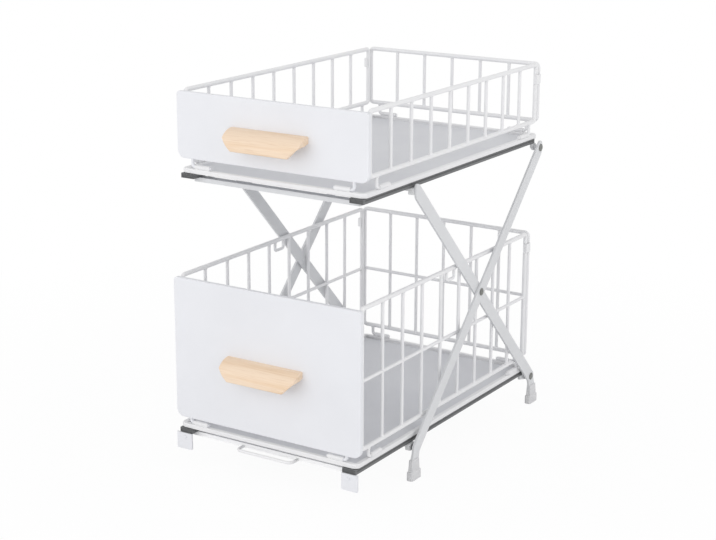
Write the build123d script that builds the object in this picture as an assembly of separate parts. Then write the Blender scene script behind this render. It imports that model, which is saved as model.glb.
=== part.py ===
from build123d import *
from dataclasses import dataclass
import math
import os

# Two-tier folding rack with two pull-out wire baskets, after one photograph.
# Millimetres. X runs to the right seen from the front, the front faces -Y and Z is up.
# The origin lies on the floor under the middle of the whole rack.

# Tray of a basket: one bent square tube round a thin sheet
tray_width = 241.6
tray_depth = 397.0
tray_tube = 5.5
tray_tube_round = 1.2
tray_corner_radius = 7.0
sheet_thickness = 1.2
sheet_lift = 1.5
sheet_rear_gap = 3.5

# Rail under each side of a tray: a closed box with a slot along its top
rail_width = 18.0
rail_height = 5.2
rail_wall = 1.6
rail_floor = 1.0
rail_roof = 1.0
rail_cap = 3.0
rail_side_inset = 0.6
rail_front_overhang = 1.5
rail_rear_gap = 6.5
rail_end_round = 1.2
rail_groove_drop = 0.8
rail_groove_height = 1.6
rail_groove_depth = 0.8
side_clearance = 0.4
slide_clearance = 0.3
slot_width = 3.6
slot_wall_gap = 2.4
runner_inner_reach = 6.0
drawer_travel = 260.0

# Channel under each rail, and the block in it that carries the front end of a leg
channel_width = 7.0
channel_wall = 0.9
groove_height = 2.8
channel_setback = 32.0
block_length = 13.0
block_width = 6.0
block_depth = 7.2
block_round = 1.0
block_clearance = 0.3
pivot_drop = 4.4
pin_radius = 2.0
pin_hold = 5.0

# Cross bars, front tabs and the wire pull of the support frames
bar_depth = 10.0
bar_height = 5.0
bar_setback = 9.0
rear_bar_setback = 4.0
bar_wall = 1.2
bracket_thickness = 3.0
bracket_overhang = 1.0
bracket_length = 9.0
bracket_end_radius = 4.2
tab_height = 19.5
tab_thickness = 2.0
tab_forward = 1.5
tab_overhang = 3.0
tab_round = 1.5
pull_wire = 3.5
pull_width = 74.0
pull_reach = 14.0
pull_bend_radius = 6.5
pull_lift = 1.2

# Scissor legs, outside the baskets, and their feet
rail_clear_height = 40.5
tier_pitch = 296.5
upper_setback = 13.5
leg_spread = 289.0
leg_width = 15.0
leg_thickness = 2.5
leg_tip_radius = 4.5
leg_tip_rise = 4.0
leg_tip_back = 5.0
leg_to_clip_gap = 0.4
leg_to_leg_gap = 0.5
pivot_behind_tray = 4.6
neck_width = 12.0
neck_blend_radius = 10.0
foot_splay = 4.5
foot_depth = 21.0
foot_thickness = 8.5
foot_height = 11.0
foot_round = 3.0
foot_top_round = 2.0
sole_round = 0.6
sole_thickness = 4.0
waist_depth = 17.5
waist_thickness = 6.8
collar_depth = 14.5
collar_thickness = 5.5
collar_height = 13.0
collar_round = 1.4
rivet_radius = 2.5
rivet_head_radius = 4.2
rivet_head_height = 1.8
rivet_head_round = 0.8
rivet_back_height = 0.6
rivet_collar_radius = 3.2
pivot_clearance = 0.06
face_clearance = 0.3

# Wire panels of a basket and the hinges that they fold on
rim_wire = 5.2
rim_bend_radius = 4.5
grid_wire = 4.0
hinge_wire = 3.8
hinge_bend_radius = 3.5
lower_grid_lift = 12.4
upper_grid_lift = 14.3
lower_grid_height = 158.8
upper_grid_height = 69.2
mid_wire_share = 0.49
side_wire_count = 8
back_wire_count = 5
side_grid_inset = 0.9
side_grid_front_gap = 2.0
side_grid_rear_gap = 1.6
sleeve_radius = 2.7
sleeve_length = 20.0
sleeve_weld = 0.5
sleeve_clearance = 0.08
sleeve_gap = 4.0
hinge_tail = 1.5
side_hinge_inset = 24.0
end_hinge_inset = 14.8
loop_wire = 3.6
loop_width = 17.0
loop_drop = 12.5
loop_bend_radius = 2.5
clip_height = 11.0
clip_drop = 12.0
clip_thickness = 0.8
clip_clearance = 0.3
clip_hold = 1.0

# Front panel: a pressed sheet with a turned-back edge, and its wooden pull
panel_overhang = 4.2
panel_sheet = 1.2
panel_flange = 5.0
lower_panel_lift = 5.2
upper_panel_lift = 8.9
panel_top_radius = 4.0
panel_foot_radius = 9.0
panel_edge_round = 0.8
handle_width = 100.5
handle_height = 22.5
handle_depth = 22.0
handle_crown = 4.5
handle_lip_height = 6.0
handle_wall = 5.5
handle_root_height = 7.5
handle_shoulder_drop = 12.0
handle_round = 0.9
handle_lip_round = 1.6
lower_handle_rise = 2.7
upper_handle_rise = 4.8
handle_side_share = 0.42
handle_foot_share = 0.73
screw_radius = 1.7
screw_head_radius = 3.8
screw_head_height = 1.6
screw_length = 7.5
screw_drop = 4.2
screw_spacing = 64.0

# Cuts run this far past the faces that they open
overrun = 1.0

# Places that several pieces share
tray_half = tray_width / 2
rail_outer = tray_half - rail_side_inset
rail_inner = rail_outer - rail_width
rail_length = tray_depth + rail_front_overhang - rail_rear_gap
slot_x = rail_outer - rail_wall - slot_wall_gap
channel_outer = rail_inner + channel_width
channel_height = groove_height + 2 * channel_wall
tray_rise = rail_height + slide_clearance
hinge_rise = tray_rise + tray_tube + sleeve_radius - sleeve_weld
side_grid_x = tray_half - side_grid_inset
back_grid_y = tray_depth - tray_tube / 2
end_hinge_x = tray_half - end_hinge_inset
clip_outer = side_grid_x + rim_wire / 2 + clip_clearance + clip_thickness
inner_leg_x = clip_outer + leg_to_clip_gap
outer_leg_x = inner_leg_x + leg_thickness + leg_to_leg_gap
outer_leg_face = outer_leg_x + leg_thickness
bracket_face = rail_outer + bracket_overhang
block_face = inner_leg_x - leg_to_clip_gap
total_depth = handle_depth + tray_depth + pivot_behind_tray + foot_splay + foot_depth / 2
lower_front = handle_depth - total_depth / 2
lower_base = rail_clear_height
upper_base = lower_base + tier_pitch
rear_pivot_y = lower_front + tray_depth + pivot_behind_tray
front_pivot_y = rear_pivot_y - leg_spread
rear_sole_y = rear_pivot_y + foot_splay
front_sole_y = front_pivot_y - foot_splay
lower_pivot_z = lower_base - pivot_drop
upper_pivot_z = upper_base - pivot_drop
middle_pivot = ((front_pivot_y + rear_pivot_y) / 2, (lower_pivot_z + upper_pivot_z) / 2)


@dataclass(frozen=True)
class Tier:
    """Where one tier stands, and the sizes in which the two tiers differ."""

    name: str
    front: float
    base: float
    grid_lift: float
    grid_height: float
    panel_lift: float
    handle_rise: float
    mid_wire: bool
    pivot_leg_x: float

    @property
    def rail_front(self):
        """Y of the front end of the rails."""
        return self.front - rail_front_overhang

    @property
    def rail_end(self):
        """Y of the rear end of the rails."""
        return self.rail_front + rail_length

    @property
    def pivot_z(self):
        """Height of the tier's leg pivots."""
        return self.base - pivot_drop

    @property
    def hinge_z(self):
        """Height of the axes on which the panels fold."""
        return self.base + hinge_rise

    @property
    def grid_z(self):
        """Height of the lowest wire of the panels."""
        return self.hinge_z + self.grid_lift

    @property
    def rim_z(self):
        """Height of the top wire of the panels and of the front's top edge."""
        return self.grid_z + self.grid_height

    @property
    def panel_z(self):
        """Height of the front panel's lower edge."""
        return self.hinge_z + self.panel_lift

    @property
    def handle_z(self):
        """Height of the handle's top edge: a little above the middle of the panel."""
        return (self.panel_z + self.rim_z) / 2 + self.handle_rise


lower = Tier("lower", lower_front, lower_base, lower_grid_lift, lower_grid_height, lower_panel_lift,
             lower_handle_rise, True, inner_leg_x)
upper = Tier("upper", lower_front + upper_setback, upper_base, upper_grid_lift, upper_grid_height,
             upper_panel_lift, upper_handle_rise, False, outer_leg_x)


def block(xs, ys, zs):
    """A box between the given low and high X, Y and Z."""
    size = Box(xs[1] - xs[0], ys[1] - ys[0], zs[1] - zs[0], align=(Align.MIN, Align.MIN, Align.MIN))
    return Pos(xs[0], ys[0], zs[0]) * size


def area(us, vs):
    """A rectangle between the given low and high values in a drawing plane."""
    return Pos((us[0] + us[1]) / 2, (vs[0] + vs[1]) / 2) * Rectangle(us[1] - us[0], vs[1] - vs[0])


def rod(start, end, radius):
    """A round bar from one point to another."""
    axis = Vector(end) - Vector(start)
    return Solid.make_cylinder(radius, axis.length, Plane(origin=start, z_dir=axis))


def bent_wire(points, radius, bend_radius):
    """A round wire along straight runs, with a rounded bend at each corner."""
    path = FilletPolyline(*points, radius=bend_radius)
    start = Plane(origin=points[0], z_dir=path % 0)
    return sweep(start * Circle(radius), path=path)


def across_x(sketch, x_low, x_high):
    """A sketch drawn in Y and Z, drawn out from one X to another."""
    return extrude(Pos(x_low, 0, 0) * (Plane.YZ * sketch), amount=x_high - x_low)


def across_y(sketch, y_low, y_high):
    """A sketch drawn in X and Z, drawn out from one Y to another."""
    face = Plane(origin=(0, y_high, 0), x_dir=(1, 0, 0), z_dir=(0, -1, 0))
    return extrude(face * sketch, amount=y_high - y_low)


def other_side(shape):
    """The left-hand twin of a right-hand piece."""
    return mirror(shape, Plane.YZ)


def rail(tier):
    """The right-hand rail: a box with end caps, a slotted roof and a shadow groove along its outside."""
    ends = (tier.rail_front, tier.rail_end)
    roof = tier.base + rail_height
    body = block((rail_inner, rail_outer), ends, (tier.base, roof))
    body = fillet(body.edges().filter_by(Axis.Z), rail_end_round)
    inside = (ends[0] + rail_cap, ends[1] - rail_cap)
    cavity = (tier.base + rail_floor, roof - rail_roof)
    body -= block((rail_inner + rail_wall, rail_outer - rail_wall), inside, cavity)
    slot = (slot_x - slot_width / 2, slot_x + slot_width / 2)
    body -= block(slot, inside, (cavity[1] - overrun, roof + overrun))
    groove_top = roof - rail_groove_drop
    groove = (rail_outer - rail_groove_depth, rail_outer + overrun)
    return body - block(groove, inside, (groove_top - rail_groove_height, groove_top))


def runner(tier):
    """The right-hand runner under a tray, captive in the rail; its length sets the drawer's travel."""
    y_high = tier.rail_end - rail_cap - slide_clearance
    room = rail_length - 2 * rail_cap - 2 * slide_clearance
    ys = (y_high - (room - drawer_travel), y_high)
    shoe_top = tier.base + rail_height - rail_roof - slide_clearance
    shoe_x = (slot_x - runner_inner_reach, rail_outer - rail_wall - side_clearance)
    shoe = block(shoe_x, ys, (tier.base + rail_floor + slide_clearance, shoe_top))
    half_neck = slot_width / 2 - side_clearance
    return shoe + block((slot_x - half_neck, slot_x + half_neck), ys, (shoe_top, tier.base + tray_rise))


def channel(tier):
    """The right-hand channel, open outwards, that guides a leg's slide block under the rail."""
    ys = (tier.front + channel_setback, tier.rail_end)
    low = tier.base - channel_height
    body = block((rail_inner, channel_outer), ys, (low, tier.base))
    groove = (rail_inner + channel_wall, channel_outer + overrun)
    groove_ends = (ys[0] - overrun, ys[1] + overrun)
    return body - block(groove, groove_ends, (low + channel_wall, tier.base - channel_wall))


def slide_block(tier):
    """The right-hand block whose tongue runs in the channel; it turns on the pin of a leg."""
    ys = (front_pivot_y - block_length / 2, front_pivot_y + block_length / 2)
    xs = (block_face - block_width, block_face)
    body = block(xs, ys, (tier.base - block_clearance - block_depth, tier.base - block_clearance))
    body = fillet(body.edges().filter_by(Axis.X), block_round)
    tongue_x = (rail_inner + channel_wall + block_clearance, xs[0])
    low = tier.base - channel_height + channel_wall + block_clearance
    body += block(tongue_x, ys, (low, tier.base - channel_wall - block_clearance))
    return body - leg_pin(block_face + overrun, tier.pivot_z, pin_radius + pivot_clearance, pivot_clearance)


def leg_pin(x_high, z, radius=pin_radius, extra=0):
    """The pin at a leg's front end, which turns in a slide block."""
    start = block_face - pin_hold - extra
    return rod((start, front_pivot_y, z), (x_high, front_pivot_y, z), radius)


def cross_bar(half, y_web, depth, base):
    """A bar from side to side, open away from its web. A negative depth runs forwards."""
    ys = sorted((y_web, y_web + depth))
    zs = (base - bar_height, base)
    body = block((-half, half), ys, zs)
    hollow = sorted((y_web + math.copysign(bar_wall, depth), y_web + depth + math.copysign(overrun, depth)))
    return body - block((-half, half), hollow, (zs[0] + bar_wall, zs[1] - bar_wall))


def bracket(tier):
    """The right-hand plate that carries a rear pivot behind the end of the rail."""
    root = area((tier.rail_end - bracket_length, tier.rail_end), (tier.pivot_z, tier.base))
    eye = Pos(rear_pivot_y, tier.pivot_z) * Circle(bracket_end_radius)
    outline = make_hull(root.edges() + eye.edges())
    plate = across_x(outline, bracket_face - bracket_thickness, bracket_face)
    rail_zs = (tier.base, tier.base + rail_height)
    rail_room = block((rail_inner, bracket_face + overrun), (tier.front, tier.rail_end), rail_zs)
    return plate - rail_room - pivot_shank(tier)


def pivot_shank(tier):
    """The plain shank of a right-hand rear pivot."""
    start = bracket_face - bracket_thickness
    end = tier.pivot_leg_x + leg_thickness + face_clearance
    return rod((start, rear_pivot_y, tier.pivot_z), (end, rear_pivot_y, tier.pivot_z), rivet_radius)


def domed_head(x_face, y, z):
    """A round rivet head that stands out from a right-hand face."""
    head = rod((x_face, y, z), (x_face + rivet_head_height, y, z), rivet_head_radius)
    return fillet(head.edges().sort_by(Axis.X)[-1], rivet_head_round)


def rear_rivet(tier):
    """A rear pivot: shank, spacer against the bracket, and head outside the leg."""
    spacer_start = (bracket_face, rear_pivot_y, tier.pivot_z)
    spacer_end = (tier.pivot_leg_x - face_clearance, rear_pivot_y, tier.pivot_z)
    spacer = rod(spacer_start, spacer_end, rivet_collar_radius)
    head_x = tier.pivot_leg_x + leg_thickness + face_clearance
    return Part() + [pivot_shank(tier), spacer, domed_head(head_x, rear_pivot_y, tier.pivot_z)]


def cross_rivet():
    """The rivet where the right-hand legs cross, fixed in the inner leg."""
    y, z = middle_pivot
    back = rod((inner_leg_x - rivet_back_height, y, z), (inner_leg_x, y, z), rivet_collar_radius)
    shank = rod((inner_leg_x, y, z), (outer_leg_face + face_clearance, y, z), rivet_radius)
    return Part() + [back, shank, domed_head(outer_leg_face + face_clearance, y, z)]


def disc(y, z, radius):
    """The outline of a round end or hole in a leg."""
    return Pos(y, z) * Circle(radius)


def leg(x_low, foot_y, sole_y, tip_y, running_pivots, fixed_pivots):
    """A right-hand leg: a flat bar with a small tip above and a neck that splays out to its sole below."""
    lean = Vector(foot_y - tip_y, lower_pivot_z - upper_pivot_z).normalized() * leg_tip_back
    wide = disc(tip_y + lean.X, upper_pivot_z + lean.Y, leg_width / 2)
    bar = make_hull(wide.edges() + disc(foot_y, lower_pivot_z, leg_width / 2).edges())
    tip = make_hull(wide.edges() + disc(tip_y, upper_pivot_z + leg_tip_rise, leg_tip_radius).edges())
    neck_ys = (sole_y - neck_width / 2, sole_y + neck_width / 2)
    in_boot = area(neck_ys, (sole_thickness, foot_height + collar_height))
    neck = make_hull(in_boot.edges() + disc(foot_y, lower_pivot_z, neck_width / 2).edges())
    outline = offset(offset(bar + tip + neck, neck_blend_radius), -neck_blend_radius)
    for y, z in running_pivots:
        outline -= disc(y, z, rivet_radius + pivot_clearance)
    for y, z in fixed_pivots:
        outline -= disc(y, z, rivet_radius)
    return across_x(outline, x_low, x_low + leg_thickness)


def foot(leg_x, y, leg_solid):
    """A soft boot on the end of a leg: a rounded sole under a collar that narrows upwards."""
    at = Pos(leg_x + leg_thickness / 2, y, 0)
    boot = extrude(at * RectangleRounded(foot_thickness, foot_depth, foot_round), amount=foot_height)
    boot = fillet(boot.edges().group_by(Axis.Z)[-1], foot_top_round)
    waist = at * RectangleRounded(waist_thickness, waist_depth, collar_round)
    collar = at * RectangleRounded(collar_thickness, collar_depth, collar_round)
    boot += loft([Pos(0, 0, foot_height / 2) * waist, Pos(0, 0, foot_height + collar_height) * collar])
    ends = boot.edges().group_by(Axis.Z)
    return fillet(ends[0] + ends[-1], sole_round) - leg_solid


def front_tab(tier):
    """The plate that hangs under the front end of a lower rail."""
    ys = (tier.rail_front - tab_forward, tier.rail_front - tab_forward + tab_thickness)
    plate = block((rail_inner, rail_outer + tab_overhang), ys, (tier.base - tab_height, tier.base))
    return fillet(plate.edges().filter_by(Axis.Y).group_by(Axis.Z)[0], tab_round)


def front_pull(tier):
    """The wire loop in front of the lower cross bar."""
    y_back = tier.front + bar_setback
    y_front = y_back - pull_reach
    z = tier.base - bar_height + pull_lift
    half = pull_width / 2
    points = ((-half, y_back, z), (-half, y_front, z), (half, y_front, z), (half, y_back, z))
    return bent_wire(points, pull_wire / 2, pull_bend_radius)


def sleeve_runs(tier):
    """Start and end of each hinge sleeve of a tray, on the right and left, at the sides and ends."""
    z = tier.hinge_z
    runs = []
    for sign in (-1, 1):
        x = sign * side_grid_x
        near = tier.front + side_hinge_inset + sleeve_gap
        far = tier.front + tray_depth - side_hinge_inset - sleeve_gap
        runs.append(((x, near, z), (x, near + sleeve_length, z)))
        runs.append(((x, far - sleeve_length, z), (x, far, z)))
        outer = sign * (end_hinge_x - sleeve_gap)
        inner = sign * (end_hinge_x - sleeve_gap - sleeve_length)
        for y in (tier.front + tray_tube / 2, tier.front + back_grid_y):
            runs.append(((inner, y, z), (outer, y, z)))
    return runs


def tray_frame(tier):
    """The bent tube of a tray, with the hinge sleeves welded along its top."""
    middle = Pos(0, tier.front + tray_depth / 2, tier.base + tray_rise)
    outer = RectangleRounded(tray_width, tray_depth, tray_corner_radius)
    tube = extrude(middle * (outer - tray_opening()), amount=tray_tube)
    ends = tube.edges().group_by(Axis.Z)
    tube = fillet(ends[0] + ends[-1], tray_tube_round)
    runs = sleeve_runs(tier)
    tube += [rod(a, b, sleeve_radius) for a, b in runs]
    return tube - [rod(a, b, hinge_wire / 2 + sleeve_clearance) for a, b in runs]


def tray_opening():
    """The outline inside the tray's tube, round its own middle."""
    inner_radius = tray_corner_radius - tray_tube
    return RectangleRounded(tray_width - 2 * tray_tube, tray_depth - 2 * tray_tube, inner_radius)


def tray_sheet(tier):
    """The sheet in a tray; its rear edge stops short of the tube."""
    low = tier.base + tray_rise + sheet_lift
    sheet = extrude(Pos(0, tier.front + tray_depth / 2, low) * tray_opening(), amount=sheet_thickness)
    rear = tier.front + tray_depth - tray_tube
    gap = block((-tray_half, tray_half), (rear - sheet_rear_gap, rear), (low, low + sheet_thickness))
    return sheet - gap


def wire_grid(plane, width, height, wire_count, mid_wire):
    """A wire panel in a plane whose origin is the start of its bottom wire."""
    bend = RectangleRounded(width, height, rim_bend_radius).wire()
    path = (plane * Pos(width / 2, height / 2)) * bend
    start = Plane(origin=path @ 0, z_dir=path % 0)
    wires = []
    for i in range(wire_count):
        u = width * (i + 1) / (wire_count + 1)
        wires.append(plane * rod((u, 0, 0), (u, height, 0), grid_wire / 2))
    if mid_wire:
        v = height * mid_wire_share
        wires.append(plane * rod((0, v, 0), (width, v, 0), grid_wire / 2))
    return sweep(start * Circle(rim_wire / 2), path=path) + wires


def hinge_legs(plane, width, inset, lift):
    """The two L-shaped hinge wires under a panel; they turn towards each other into their sleeves."""
    reach = sleeve_gap + sleeve_length + hinge_tail
    legs = []
    for u, way in ((inset, 1), (width - inset, -1)):
        points = [(u, 0, 0), (u, -lift, 0), (u + way * reach, -lift, 0)]
        legs.append(plane * bent_wire(points, hinge_wire / 2, hinge_bend_radius))
    return legs


def side_grid(tier):
    """The right-hand wire panel, which folds inwards on its two hinge wires."""
    y_low = tier.front + panel_flange + side_grid_front_gap + rim_wire / 2
    width = tier.front + back_grid_y - rim_wire - side_grid_rear_gap - y_low
    plane = Plane(origin=(side_grid_x, y_low, tier.grid_z), x_dir=(0, 1, 0), z_dir=(1, 0, 0))
    grid = wire_grid(plane, width, tier.grid_height, side_wire_count, tier.mid_wire)
    hinge_plane = Plane(origin=(side_grid_x, tier.front, tier.grid_z), x_dir=(0, 1, 0), z_dir=(1, 0, 0))
    grid += hinge_legs(hinge_plane, tray_depth, side_hinge_inset, tier.grid_lift)
    if tier.mid_wire:
        grid += hand_loop(plane, width, tier.grid_height)
    return grid


def hand_loop(plane, width, height):
    """The small wire loop that hangs under the rim of a tall side panel."""
    left, right = (width - loop_width) / 2, (width + loop_width) / 2
    low = height - loop_drop
    points = ((left, height, 0), (left, low, 0), (right, low, 0), (right, height, 0))
    return plane * bent_wire(points, loop_wire / 2, loop_bend_radius)


def corner_clip(y_wire, y_root, top):
    """A right-hand clip, open inwards, that holds a side panel's end wire. Its foot lies at y_root."""
    gap = rim_wire / 2 + clip_clearance
    web_x = (side_grid_x + gap, clip_outer)
    ys = sorted((y_root, y_wire + math.copysign(gap + clip_thickness, y_wire - y_root)))
    zs = (top - clip_height, top)
    root_low = min(y_root, y_root + math.copysign(clip_thickness, y_wire - y_root))
    clip = block(web_x, ys, zs)
    for y_low in (root_low, y_wire - gap - clip_thickness, y_wire + gap):
        clip += block((side_grid_x - clip_hold, web_x[1]), (y_low, y_low + clip_thickness), zs)
    return clip


def back_grid(tier):
    """The rear wire panel with its hinge wires and the clips for the side panels."""
    y = tier.front + back_grid_y
    half = side_grid_x
    plane = Plane(origin=(-half, y, tier.grid_z), x_dir=(1, 0, 0), z_dir=(0, -1, 0))
    grid = wire_grid(plane, 2 * half, tier.grid_height, back_wire_count, tier.mid_wire)
    grid += hinge_legs(plane, 2 * half, half - end_hinge_x, tier.grid_lift)
    clip = corner_clip(y - rim_wire - side_grid_rear_gap, y, tier.rim_z - clip_drop)
    return grid + [clip, other_side(clip)]


def front_panel(tier):
    """The pressed front with turned-back edges and its two hinge wires."""
    half = tray_half + panel_overhang
    outline = area((-half, half), (tier.panel_z, tier.rim_z))
    outline = fillet(outline.vertices().sort_by(Axis.Y)[:2], panel_foot_radius)
    outline = fillet(outline.vertices().sort_by(Axis.Y)[-2:], panel_top_radius)
    pan = across_y(outline, tier.front, tier.front + panel_flange)
    pan = fillet(pan.faces().sort_by(Axis.Y)[0].edges(), panel_edge_round)
    hollow_ends = (tier.front + panel_sheet, tier.front + panel_flange + overrun)
    pan -= across_y(offset(outline, -panel_sheet), *hollow_ends)
    y = tier.front + tray_tube / 2
    for side in (-1, 1):
        outer = side * end_hinge_x
        inner = side * (end_hinge_x - sleeve_gap - sleeve_length - hinge_tail)
        points = [(outer, y, tier.grid_z), (outer, y, tier.hinge_z), (inner, y, tier.hinge_z)]
        pan += bent_wire(points, hinge_wire / 2, hinge_bend_radius)
    return pan - handle_screws(tier)


def handle_outline():
    """The front view of a handle, hanging from its top edge: upright sides that slant in to the lip."""
    half = handle_width / 2
    side = [(half, overrun), (half, -handle_height * handle_side_share)]
    right = side + [(half * handle_foot_share, -handle_height)]
    left = [(-x, z) for x, z in reversed(right)]
    return make_face(Polyline(*right, *left, close=True))


def handle_profile():
    """The side view of a handle: an arc from the panel out to an upright lip."""
    crease = (-handle_depth, handle_lip_height - handle_height)
    crown = SagittaArc((0, 0), crease, -handle_crown)
    rest = Polyline(crease, (-handle_depth, -handle_height), (0, -handle_height), (0, 0))
    return make_face(crown.edges() + rest.edges())


def finger_room():
    """The side view of the room for the fingers behind a handle's lip."""
    inner = handle_wall - handle_depth
    low = -handle_height - overrun
    points = [(0, -handle_root_height), (inner, -handle_shoulder_drop), (inner, low), (0, low)]
    return make_face(Polyline(*points, close=True))


def handle(tier):
    """The wooden pull: a lip that curves out over the fingers, open below and at its ends."""
    half = handle_width / 2
    pull = across_y(handle_outline(), -handle_depth, 0) & across_x(handle_profile(), -half, half)
    pull -= across_x(finger_room(), -half - overrun, half + overrun)
    lip_edges = pull.edges().filter_by(Axis.X).group_by(Axis.Z)[0]
    pull = fillet(lip_edges.sort_by(Axis.Y)[0], handle_lip_round)
    pull = fillet(pull.edges().filter_by(lambda e: e.center().Y < -handle_wall), handle_round)
    return Pos(0, tier.front, tier.handle_z) * pull - handle_screws(tier)


def handle_screws(tier):
    """The two screws that hold a handle from behind the sheet."""
    z = tier.handle_z - screw_drop
    back = tier.front + panel_sheet
    screws = []
    for x in (-screw_spacing / 2, screw_spacing / 2):
        shank = rod((x, back, z), (x, back - screw_length, z), screw_radius)
        head = rod((x, back, z), (x, back + screw_head_height, z), screw_head_radius)
        screws.append(shank + head)
    return screws


def sided(nodes, name, right_piece):
    """Adds a right-hand piece and its left-hand twin to the nodes."""
    nodes[name + "_right"] = right_piece
    nodes[name + "_left"] = other_side(right_piece)


def tier_nodes(tier):
    """All the pieces of one tier: support frame, tray, panels and handle."""
    nodes = {}
    sided(nodes, tier.name + "_rail", rail(tier))
    sided(nodes, tier.name + "_channel", channel(tier))
    sided(nodes, tier.name + "_bracket", bracket(tier))
    sided(nodes, tier.name + "_pivot", rear_rivet(tier))
    sided(nodes, tier.name + "_runner", runner(tier))
    sided(nodes, tier.name + "_slide_block", slide_block(tier))
    front_web, rear_web = tier.front + bar_setback, tier.rail_end - rear_bar_setback
    nodes[tier.name + "_front_bar"] = cross_bar(channel_outer, front_web, bar_depth, tier.base)
    nodes[tier.name + "_rear_bar"] = cross_bar(rail_inner, rear_web, -bar_depth, tier.base)
    nodes[tier.name + "_tray_frame"] = tray_frame(tier)
    nodes[tier.name + "_tray_sheet"] = tray_sheet(tier)
    nodes[tier.name + "_front_panel"] = front_panel(tier)
    nodes[tier.name + "_handle"] = handle(tier)
    nodes[tier.name + "_handle_screws"] = Compound(children=handle_screws(tier))
    nodes[tier.name + "_back_grid"] = back_grid(tier)
    sided(nodes, tier.name + "_side_grid", side_grid(tier))
    return nodes


def leg_nodes():
    """The scissor legs of both sides, with their feet, front pins and crossing rivets."""
    nodes = {}
    low_rear = (rear_pivot_y, lower_pivot_z)
    high_rear = (rear_pivot_y, upper_pivot_z)
    inner = leg(inner_leg_x, rear_pivot_y, rear_sole_y, front_pivot_y, [low_rear], [middle_pivot])
    outer = leg(outer_leg_x, front_pivot_y, front_sole_y, rear_pivot_y, [high_rear, middle_pivot], [])
    sided(nodes, "inner_leg", inner)
    sided(nodes, "outer_leg", outer)
    sided(nodes, "rear_foot", foot(inner_leg_x, rear_sole_y, inner))
    sided(nodes, "front_foot", foot(outer_leg_x, front_sole_y, outer))
    sided(nodes, "cross_rivet", cross_rivet())
    inner_pin = ("inner_leg_pins", inner_leg_x, upper_pivot_z)
    outer_pin = ("outer_leg_pins", outer_leg_x, lower_pivot_z)
    for name, x, z in (inner_pin, outer_pin):
        pin = leg_pin(x, z)
        nodes[name] = Compound(children=[pin, other_side(pin)])
    return nodes


def main():
    """Builds every node and writes it to its own file."""
    nodes = {**tier_nodes(lower), **tier_nodes(upper), **leg_nodes()}
    sided(nodes, "front_tab", front_tab(lower))
    nodes["front_pull"] = front_pull(lower)
    os.makedirs("parts", exist_ok=True)
    for name, shape in nodes.items():
        export_step(shape, f"parts/{name}.step")


main()
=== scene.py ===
import logging
import math
from collections.abc import Iterable
from dataclasses import dataclass
from enum import Enum

import bmesh
import bpy
from mathutils import Matrix, Vector


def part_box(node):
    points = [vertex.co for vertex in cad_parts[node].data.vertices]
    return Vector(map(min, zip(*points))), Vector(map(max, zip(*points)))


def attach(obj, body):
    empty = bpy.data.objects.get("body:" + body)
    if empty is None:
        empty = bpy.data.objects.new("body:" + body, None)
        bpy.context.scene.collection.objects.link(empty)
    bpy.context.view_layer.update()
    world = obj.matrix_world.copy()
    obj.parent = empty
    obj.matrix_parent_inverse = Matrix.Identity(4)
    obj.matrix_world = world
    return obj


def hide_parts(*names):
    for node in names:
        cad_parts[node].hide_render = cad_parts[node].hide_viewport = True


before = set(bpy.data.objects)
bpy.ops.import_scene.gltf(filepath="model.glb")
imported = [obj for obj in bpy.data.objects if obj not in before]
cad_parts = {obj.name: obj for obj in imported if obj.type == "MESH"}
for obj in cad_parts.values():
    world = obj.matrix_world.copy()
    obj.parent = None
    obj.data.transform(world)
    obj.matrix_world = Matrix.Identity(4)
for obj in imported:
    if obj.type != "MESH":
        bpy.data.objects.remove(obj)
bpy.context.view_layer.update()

log = logging.getLogger("rack")
MM = 0.001
# Points that lie nearer to each other than this become one point.
MERGE = 0.001 * MM
# A face counts as facing a way when the cosine between them is larger than this.
FACING = 0.99
# Refractive indices of paint and lacquer, and of nylon.
PAINT_IOR = 1.5
NYLON_IOR = 1.53


class Tier(Enum):
    """The two levels of the rack."""

    LOWER = "lower"
    UPPER = "upper"


class Side(Enum):
    """The two sides of the rack, with the sign of X there."""

    LEFT = -1
    RIGHT = 1

    @property
    def word(self) -> str:
        """The side's name as the CAD nodes end with it."""
        return self.name.lower()


class Slot(Enum):
    """Names of material slots; the new pieces do not take their finish from them."""

    ENAMEL = "white_enamel"
    RAIL = "dark_rail"
    STEEL = "bare_steel"


def linear(code: str) -> tuple[float, float, float, float]:
    """Turns an sRGB hex colour into a linear one.

    Args:
        code: Six hex digits, with or without a leading mark.

    Returns:
        Red, green, blue and an alpha of 1.
    """
    digits = code.lstrip("#")
    parts = [int(digits[i:i + 2], 16) / 255 for i in (0, 2, 4)]
    red, green, blue = [p / 12.92 if p <= 0.04045 else ((p + 0.055) / 1.055) ** 2.4 for p in parts]
    return red, green, blue, 1.0


def add_node(tree: bpy.types.NodeTree, kind: str, inputs: dict | None = None, **settings) -> bpy.types.Node:
    """Adds a node with its settings, values and links.

    Args:
        tree: The node tree that takes it.
        kind: The node's type name.
        inputs: A value or an output socket for each input, by name or number.
        settings: Properties of the node itself.

    Returns:
        The new node.
    """
    node = tree.nodes.new(kind)
    for key, value in settings.items():
        setattr(node, key, value)
    for key, value in (inputs or {}).items():
        if isinstance(value, bpy.types.NodeSocket):
            tree.links.new(value, node.inputs[key])
        else:
            node.inputs[key].default_value = value
    return node


def new_material(name: str) -> tuple[bpy.types.Material, bpy.types.NodeTree]:
    """Starts an empty node material.

    Args:
        name: The material's name.

    Returns:
        The material and its node tree.
    """
    material = bpy.data.materials.new(name)
    material.use_nodes = True
    material.node_tree.nodes.clear()
    return material, material.node_tree


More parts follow.
